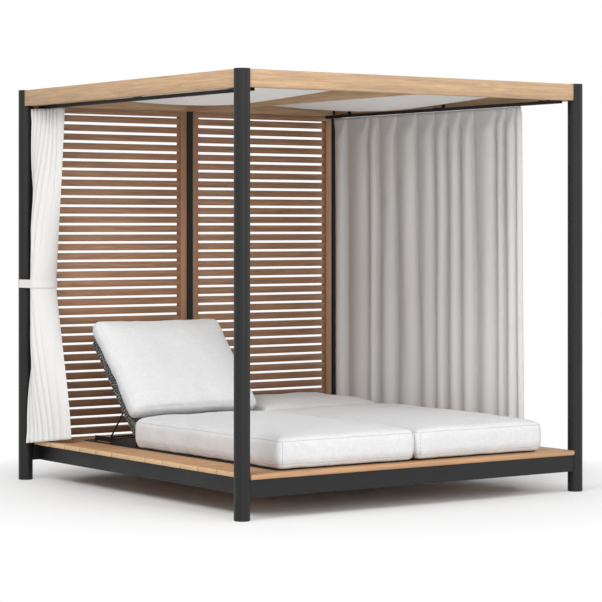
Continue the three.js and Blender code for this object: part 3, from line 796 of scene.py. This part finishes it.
# Each cushion's half width, length, side height and crown; places are along Y and Z.
SEAT_SIZE = (0.4505, 1.471, 0.172, 0.030)
BACK_SIZE = (0.432, 0.690, 0.114, 0.034)
CHAISE_X = 0.45
SEAT_PLACE = (-0.4225, 0.2406)
PIVOT = (0.338, 0.268)
RAISED_ANGLE = math.radians(47)
PANEL_RISE = 0.0421
CUSHION_GAP = 0.0003
BACK_START = -0.013
BACK_SLIDE = 0.127
SEED_STEP = 3.7
BACK_SEED = 1.3


def chaise_x(side):
    return -CHAISE_X if side == "left" else CHAISE_X


def backrest_matrix(side):
    angle = RAISED_ANGLE if side == "left" else 0
    return Matrix.Translation((chaise_x(side), *PIVOT)) @ Matrix.Rotation(angle, 4, "X")


def add_cushions():
    for place, side in enumerate(SIDES):
        seed = place * SEED_STEP
        seat = Matrix.Translation((chaise_x(side), *SEAT_PLACE))
        make_cushion("seat_cushion_" + side + "_cover", SEAT_SIZE, seat, "root",
                     "seat_cushion_" + side, seed, seam_cord)
        start = BACK_START + (BACK_SLIDE if side == "left" else 0)
        local = Matrix.Translation((0, start + BACK_SIZE[1] / 2, PANEL_RISE + CUSHION_GAP))
        make_cushion("back_cushion_" + side + "_cover", BACK_SIZE, backrest_matrix(side) @ local,
                     "back_pad_" + side, "back_cushion_" + side, seed + BACK_SEED, cushion_cloth)


# Woven backs

ROPE_PITCH = 0.019
ROPE_HALF_WIDTH = 0.0075
ROPE_HALF_THICK = 0.0026
RIM_RADIUS = 0.0095
WOVEN_HALF_WIDTH = 0.402
WOVEN_START = 0.030
WOVEN_END = 0.740
WOVEN_BASE = 0.0178
WOVEN_THICK = 0.024
STEPS_PER_CROSSING = 3
STRAND_SIDES = 8
RIM_SIDES = 12
RIM_GAP = 0.001
TUBE_PLACE = 0.385
TUBE_RADIUS = 0.0175
TUBE_START_RIGHT = math.radians(-80)
TUBE_START_LEFT = math.radians(70)
TUBE_SWEEP = math.radians(190)
WRAP_STEPS = 12
WRAP_GAP = 0.0004
WRAP_CREST = 0.0022
WHOLE_TURN = 2 * math.pi


def woven_strand(start, end, crossings, phase, height, flat_axis):
    """A flat rope that goes over and under the crossing ones."""
    count = crossings * STEPS_PER_CROSSING
    start, end = Vector(start), Vector(end)
    wide = Vector(flat_axis) * ROPE_HALF_WIDTH
    up = Vector((0, 0, ROPE_HALF_THICK))
    angles = [WHOLE_TURN * k / STRAND_SIDES for k in range(STRAND_SIDES)]
    ring = [(math.cos(angle), math.sin(angle)) for angle in angles]
    vertices = []
    faces = []
    for step in range(count + 1):
        share = step / count
        lift = math.cos(math.pi * (share * crossings - 0.5 + phase)) * height
        middle = start.lerp(end, share) + Vector((0, 0, lift))
        vertices.extend(middle + wide * c + up * s for c, s in ring)
    for step in range(count):
        a = step * STRAND_SIDES
        b = a + STRAND_SIDES
        for k in range(STRAND_SIDES):
            n = (k + 1) % STRAND_SIDES
            faces.append((a + k, a + n, b + n, b + k))
    faces.append(tuple(range(STRAND_SIDES))[::-1])
    faces.append(tuple(count * STRAND_SIDES + k for k in range(STRAND_SIDES)))
    return vertices, faces


def add_woven_back(side):
    """A basket weave of flat rope on a rim rod, wrapped at the edges."""
    middle_z = WOVEN_BASE + WOVEN_THICK / 2
    inset = RIM_RADIUS + RIM_GAP
    x = WOVEN_HALF_WIDTH - inset
    y0 = WOVEN_START + inset
    y1 = WOVEN_END - inset
    columns = int(2 * x / ROPE_PITCH)
    rows = int((y1 - y0) / ROPE_PITCH)
    parts = []
    corners = [(-x, y0), (x, y0), (x, y1), (-x, y1)]
    for k, corner in enumerate(corners):
        after = corners[(k + 1) % 4]
        line = [(*corner, middle_z), (*after, middle_z)]
        parts.append(tube_along(line, RIM_RADIUS, RIM_SIDES))
    pitch_x = 2 * x / columns
    pitch_y = (y1 - y0) / rows
    for row in range(rows):
        y = y0 + (row + 0.5) * pitch_y
        parts.append(woven_strand((-x, y, middle_z), (x, y, middle_z), columns, row % 2,
                                  ROPE_HALF_THICK, (0, 1, 0)))
        for end in (-x, x):
            parts.append(rope_wrap((end, y, middle_z), (0, 1, 0)))
            start = TUBE_START_RIGHT if end > 0 else TUBE_START_LEFT
            tube = (math.copysign(TUBE_PLACE, end), y, 0)
            parts.append(rope_wrap(tube, (0, 1, 0), TUBE_RADIUS, start, TUBE_SWEEP))
    for column in range(columns):
        px = -x + (column + 0.5) * pitch_x
        parts.append(woven_strand((px, y0, middle_z), (px, y1, middle_z), rows, (column + 1) % 2,
                                  ROPE_HALF_THICK, (1, 0, 0)))
        for end in (y0, y1):
            parts.append(rope_wrap((px, end, middle_z), (1, 0, 0)))
    node = "woven_back_" + side
    piece = add_piece(node + "_ropes", *merge_parts(parts), rope)
    piece.data.transform(backrest_matrix(side))
    settle(piece, "backrest_" + side, "woven_rope", node)


def rope_wrap(middle, along, radius=RIM_RADIUS, start=0.0, sweep=WHOLE_TURN):
    """A turn of flat rope round a rod, or part of one."""
    middle, along = Vector(middle), Vector(along)
    up = Vector((0, 0, 1))
    across = along.cross(up)
    rings = WRAP_STEPS if sweep == WHOLE_TURN else WRAP_STEPS + 1
    vertices = []
    faces = []
    for step in range(rings):
        angle = start + sweep * step / WRAP_STEPS
        out = across * math.cos(angle) + up * math.sin(angle)
        for share in (-1, 1):
            vertices.append(middle + out * (radius + WRAP_GAP) + along * ROPE_HALF_WIDTH * share)
        vertices.append(middle + out * (radius + WRAP_CREST))
    for step in range(WRAP_STEPS):
        a = step * 3
        b = (step + 1) * 3 % len(vertices)
        faces.append((a, b, b + 2, a + 2))
        faces.append((a + 2, b + 2, b + 1, a + 1))
        faces.append((a + 1, b + 1, b, a))
    return vertices, faces


# Cloth sheets

CLOTH_THICK = 0.0016


def grid_piece(name, point, grid, material):
    """A cloth of columns by rows quads through point(u, v), given a thickness."""
    columns, rows = grid
    vertices = [point(i / columns, j / rows) for j in range(rows + 1) for i in range(columns + 1)]
    stride = columns + 1
    faces = [(j * stride + i, j * stride + i + 1, (j + 1) * stride + i + 1, (j + 1) * stride + i)
             for j in range(rows) for i in range(columns)]
    piece = add_piece(name, vertices, faces, material)
    shell = piece.modifiers.new("thickness", "SOLIDIFY")
    shell.thickness = CLOTH_THICK
    shell.offset = 0
    apply_modifiers(piece)
    piece.data.shade_smooth()
    return piece


def cloth_area(point, grid):
    """The area of the cloth surface, as it was cut flat."""
    columns, rows = grid
    total = 0.0
    lines = [[point(i / columns, j / rows) for i in range(columns + 1)] for j in range(rows + 1)]
    for line, after in zip(lines, lines[1:]):
        for i in range(columns):
            total += (line[i + 1] - line[i]).cross(after[i] - line[i]).length
    return total


CANOPY_GRID = (120, 110)
CANOPY_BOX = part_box("canopy")
CANOPY_BAY_EDGE = 0.0225
CANOPY_SAG = 0.092
CANOPY_FALL = 1.5
CANOPY_LIFT = 0.0006
CANOPY_WRINKLE = (0.006, 5, 1.4, 0.3)
CANOPY_RIPPLE = 0.003
RIPPLE_RATE = 46
EDGE_CALM = 6
RAFTER_CALM = 8
RIPPLE_CALM = 5
BAY_CALM = 2
CORNER_CUT = 0.012
CORNER_SHARE = 0.03


def canopy_point(u, v):
    """u runs from left to right, v from front to back; each bay sags beside the rafter."""
    reach_x, reach_y, top = CANOPY_BOX[1]
    x = (2 * u - 1) * reach_x
    y = (2 * v - 1) * reach_y
    side_share = 1 - abs(x) / reach_x
    end_share = 1 - abs(y) / reach_y
    across = max(0.0, abs(x) - CANOPY_BAY_EDGE) / (reach_x - CANOPY_BAY_EDGE)
    bay = 4 * across * (1 - across)
    fall = 1 - abs(y / reach_y) ** CANOPY_FALL
    calm = min(1.0, side_share * EDGE_CALM) * min(1.0, end_share * EDGE_CALM)
    wrinkle = waver(CANOPY_WRINKLE, x, y) * calm * min(1.0, across * RAFTER_CALM)
    near_end = 1 - min(1.0, end_share * RIPPLE_CALM)
    ripple = CANOPY_RIPPLE * math.sin(x * RIPPLE_RATE) * near_end * min(1.0, bay * BAY_CALM)
    surface = top - CLOTH_THICK / 2 - CANOPY_LIFT
    z = surface - CANOPY_SAG * bay * fall + min(0.0, wrinkle + ripple)
    past_x = max(0.0, abs(u * 2 - 1) - (1 - CORNER_SHARE))
    past_y = max(0.0, abs(v * 2 - 1) - (1 - CORNER_SHARE))
    inset = CORNER_CUT * past_x / CORNER_SHARE * past_y / CORNER_SHARE
    return Vector((x - math.copysign(inset, x), y - math.copysign(inset, y), z))


def add_canopy():
    piece = grid_piece("canopy_sheet", canopy_point, CANOPY_GRID, canopy_cloth)
    settle(piece, "root", "canopy_cloth", "canopy")
    low, high = CANOPY_BOX
    width = high[0] - low[0]
    length = high[1] - low[1]
    spare = math.sqrt(cloth_area(canopy_point, CANOPY_GRID) / (width * length))


# Shares of the open curtain's length, from its leading edge, where the pleats are pinched.
PLEAT_SHARES = (0.0, 0.02, 0.073, 0.118, 0.233, 0.299, 0.367, 0.433, 0.53, 0.644, 0.742, 0.797,
                0.925, 1.0)
HEADER_GAP = 0.0002
OPEN_GRID = (520, 90)
OPEN_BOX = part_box("curtain_right")
OPEN_LEAD = 0.018
# Fold depth in the header, just below it and at the hem; the next two are at header and hem.
OPEN_DEPTH = (0.006, 0.040, 0.030)
OPEN_SHARP = (0.5, 0.95)
OPEN_LEAN = (0.55, 0.75)
PLEAT_STEEPNESS = 0.38
OPEN_DRIFT = (0.012, 11, 2.2, 0.5)
OPEN_VARIETY = (0.3, 3.1, 1.3, 2.5)
OPEN_SWAY = (0.005, 4, 2.5, 4.0)
DRIFT_RELEASE = 1.6
FOLD_RELEASE = 1.5
HEADER_RELEASE = 13


def pleat_at(u):
    """The pleat at u, counted from the leading edge, how far across it u lies and its width share."""
    for place, share in enumerate(PLEAT_SHARES[1:]):
        width = share - PLEAT_SHARES[place]
        if u <= share:
            return place, (u - PLEAT_SHARES[place]) / width, width
    return place, 1.0, width


def open_curtain_point(u, v):
    """u runs from the leading edge to the back, v from the hem to the header."""
    low, high = OPEN_BOX
    middle_x = (low[0] + high[0]) / 2
    length = high[1] - low[1] - OPEN_LEAD
    drop = 1 - v
    drift = waver(OPEN_DRIFT, u, v) * smooth_step(drop * DRIFT_RELEASE)
    place, across, width = pleat_at(clamped(u + drift * math.sin(math.pi * u)))
    opened = smooth_step(drop * FOLD_RELEASE)
    sharpness = OPEN_SHARP[0] + (OPEN_SHARP[1] - OPEN_SHARP[0]) * opened
    lean = OPEN_LEAN[0] + (OPEN_LEAN[1] - OPEN_LEAN[0]) * opened
    bulge = abs(math.sin(math.pi * across ** lean)) ** sharpness
    fullness = smooth_step(drop * HEADER_RELEASE)
    depth = OPEN_DEPTH[0] + (OPEN_DEPTH[1] - OPEN_DEPTH[0]) * fullness
    depth += (OPEN_DEPTH[2] - OPEN_DEPTH[1]) * opened
    depth = min(depth, width * length * PLEAT_STEEPNESS)
    depth *= 1 + waver(OPEN_VARIETY, place, v)
    sway = waver(OPEN_SWAY, u, v) * drop
    y = high[1] - length * (1 - u) - OPEN_LEAD * drop * (1 - u)
    z = low[2] + (high[2] - HEADER_GAP - low[2]) * v
    return Vector((middle_x - depth * (bulge * 2 - 1) + sway, y, z))


def add_open_curtain():
    piece = grid_piece("curtain_right_cloth", open_curtain_point, OPEN_GRID, curtain_cloth)
    settle(piece, "root", "curtain_cloth", "curtain_right")
    low, high = OPEN_BOX
    drop = high[2] - low[2]
    width = cloth_area(open_curtain_point, OPEN_GRID) / drop
    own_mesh(piece)


TIED_GRID = (340, 130)
TIED_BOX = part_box("curtain_left")
BAND_Z = 1.158
BAND_HALF_HEIGHT = 0.024
BUNDLE_PLACE = (-1.058, 1.072)
BUNDLE_HALF = (0.084, 0.046)
BACK_TURN_SHARE = 0.85
BACK_PINCH = 0.14
TIED_FOLDS = 8
TIED_SHARP = 0.7
HEADER_FOLD_REACH = 0.28
TIED_CROWDING = 1.5
TIED_CALM = 0.25
TIED_FACE_SHARE = 0.6
TIED_FACE_START = math.radians(-21)
TIED_BACK_FOLDS = 5
TIED_TOP_BACK = 1.116
TIED_WIDTH = 0.271
TIED_RETURN = 0.056
TIED_BULGE = 0.034
BULGE_SHARE = 0.46
TIED_TRACK_X = -1.045
TIED_HEM_OUTER = (-1.155, 1.100, 0.219)
TIED_HEM_INNER = (-1.045, 0.762, 0.262)
# Fold depth above and below the band.
TIED_DEPTH = (0.021, 0.011)
TIED_DRIFT = (0.3, 5, 0.4, 7.0)
TIED_CRIMP = (0.003, 22, 5, 1.0)
CRIMP_FADE = 9
EARLY_SPREAD_SHARE = 0.45
LATE_SPREAD_SHARE = 0.55
LATE_SPREAD_POWER = 0.8
RETURN_RAMP = (2, 1)
LIVELY_RAMP = (2, 0.7)
HEADER_RAMP = (4, 0)
FOLD_RAMP = (3, 0)
BULGE_RAMP = (1.6, 0.4)


def bundle_point(u):
    """Where the cloth lies in the band: a smooth face round the front, then folds round the back."""
    if u < TIED_FACE_SHARE:
        angle = TIED_FACE_START - math.pi * u / TIED_FACE_SHARE
        size = 1.0
    else:
        inner = (u - TIED_FACE_SHARE) / (1 - TIED_FACE_SHARE)
        angle = TIED_FACE_START - math.pi * (1 + BACK_TURN_SHARE * inner)
        size = 1.0 - BACK_PINCH * (1 - math.cos(2 * math.pi * TIED_BACK_FOLDS * inner))
    x = BUNDLE_PLACE[0] + BUNDLE_HALF[0] * size * math.cos(angle)
    return x, BUNDLE_PLACE[1] + BUNDLE_HALF[1] * size * math.sin(angle)


def tied_curtain_point(u, v):
    """u runs from the front edge to the post side, v from the hem to the header."""
    top_z = TIED_BOX[1][2] - HEADER_GAP
    hem = Vector(TIED_HEM_INNER).lerp(Vector(TIED_HEM_OUTER), u)
    z = hem.z + (top_z - hem.z) * v
    away = max(0.0, abs(z - BAND_Z) - BAND_HALF_HEIGHT)
    is_above = z > BAND_Z
    reach = (top_z - BAND_Z if is_above else BAND_Z - hem.z) - BAND_HALF_HEIGHT
    rise = min(1.0, away / reach)
    spread = EARLY_SPREAD_SHARE * smooth_step(rise) + LATE_SPREAD_SHARE * rise ** LATE_SPREAD_POWER
    return_x = TIED_TRACK_X - TIED_RETURN * ramp(u, RETURN_RAMP)
    far_x = return_x if is_above else hem.x
    far_y = TIED_TOP_BACK - TIED_WIDTH * (1 - u) if is_above else hem.y
    near_x, near_y = bundle_point(u)
    phase = u ** TIED_CROWDING * TIED_FOLDS + waver(TIED_DRIFT, u, z)
    lively = TIED_CALM + (1 - TIED_CALM) * ramp(u, LIVELY_RAMP)
    lively = max(lively, math.exp((z - top_z) / HEADER_FOLD_REACH) * ramp(u, HEADER_RAMP))
    pinch = 1 - 2 * abs(math.sin(math.pi * phase)) ** TIED_SHARP
    fold = TIED_DEPTH[0 if is_above else 1] * pinch * lively * ramp(rise, FOLD_RAMP)
    swell = math.sin(math.pi * min(1.0, rise / (2 * BULGE_SHARE)))
    bulge = swell * TIED_BULGE * ramp(u, BULGE_RAMP)
    crimp = waver(TIED_CRIMP, u, z) * math.exp(-away * CRIMP_FADE)
    x = near_x + (far_x - near_x) * spread + fold + crimp - bulge
    return Vector((x, near_y + (far_y - near_y) * spread, z))


def add_tied_curtain():
    piece = grid_piece("curtain_left_cloth", tied_curtain_point, TIED_GRID, curtain_cloth)
    settle(piece, "root", "curtain_cloth", "curtain_left")
    low, high = TIED_BOX
    drop = high[2] - low[2]
    width = cloth_area(tied_curtain_point, TIED_GRID) / drop


# Floor, light and background

FLOOR_SIZE = 40
FLOOR_COLOR = (0.88, 0.88, 0.88, 1)
# The distances where the floor starts and ends its fade to white.
FLOOR_FADE = (1.25, 2.4)


def add_floor():
    """A pale floor that keeps the shadow near the daybed and fades to white further out."""
    bm = bmesh.new()
    bmesh.ops.create_grid(bm, x_segments=1, y_segments=1, size=FLOOR_SIZE)
    shader = Shader("studio_floor", 0.9)
    shader.surface.inputs["Base Color"].default_value = FLOOR_COLOR
    distance = shader.node("ShaderNodeVectorMath", operation="LENGTH")
    shader.link(shader.place, distance.inputs[0])
    fade = shader.spread(distance.outputs["Value"], *FLOOR_FADE)
    white = shader.node("ShaderNodeEmission")
    mix = shader.node("ShaderNodeMixShader")
    shader.link(shader.math("MULTIPLY", shader.seen(), fade), mix.inputs["Fac"])
    shader.link(shader.surface.outputs[0], mix.inputs[1])
    shader.link(white.outputs[0], mix.inputs[2])
    shader.link(mix.outputs[0], shader.tree.nodes["Material Output"].inputs["Surface"])
    piece_from_bmesh("floor", bm, [shader.material])


# The world's light from the front and from behind, and how far back its fade ends.
WORLD_LIGHT = (1.2, 0.24)
WORLD_EDGE = 0.2
WHITE = (1, 1, 1)


def add_world():
    """White to the camera; as light, brighter from the open front than from behind."""
    world = bpy.data.worlds.new("studio")
    world.use_nodes = True
    graph = Graph(world.node_tree)
    place = graph.node("ShaderNodeTexCoord")
    split = graph.node("ShaderNodeSeparateXYZ")
    graph.link(place.outputs["Generated"], split.inputs[0])
    level = graph.spread(split.outputs["Y"], -1, WORLD_EDGE, *WORLD_LIGHT)
    background = graph.tree.nodes["Background"]
    graph.link(graph.blend(graph.seen(), level, WHITE), background.inputs["Color"])
    bpy.context.scene.world = world


LAMP_TARGET = (0, 0, 0.8)
LAMPS = (
    {"name": "key", "place": (-2.5, -9.5, 2.6), "size": 5.0, "watts": 200},
    {"name": "left", "place": (-5.5, -2.5, 6.5), "size": 4.0, "watts": 325},
    {"name": "fill", "place": (7.0, -6.0, 3.5), "size": 6.0, "watts": 120},
    {"name": "back", "place": (3.0, 7.0, 5.0), "size": 5.0, "watts": 60},
)


def add_lamp(name, place, size, watts):
    data = bpy.data.lights.new(name, "AREA")
    data.size = size
    data.energy = watts
    lamp = bpy.data.objects.new(name, data)
    lamp.location = place
    way = Vector(LAMP_TARGET) - Vector(place)
    lamp.rotation_euler = way.to_track_quat("-Z", "Y").to_euler()
    bpy.context.scene.collection.objects.link(lamp)


dress_metal()
dress_beams()
dress_deck()
dress_louvres()
add_cushions()
for chaise_side in SIDES:
    add_woven_back(chaise_side)
add_canopy()
add_open_curtain()
add_tied_curtain()
assign(nodes["tieback_band"], curtain_cloth)
add_floor()
add_world()
for lamp_facts in LAMPS:
    add_lamp(**lamp_facts)
bpy.context.scene.view_settings.view_transform = "Standard"
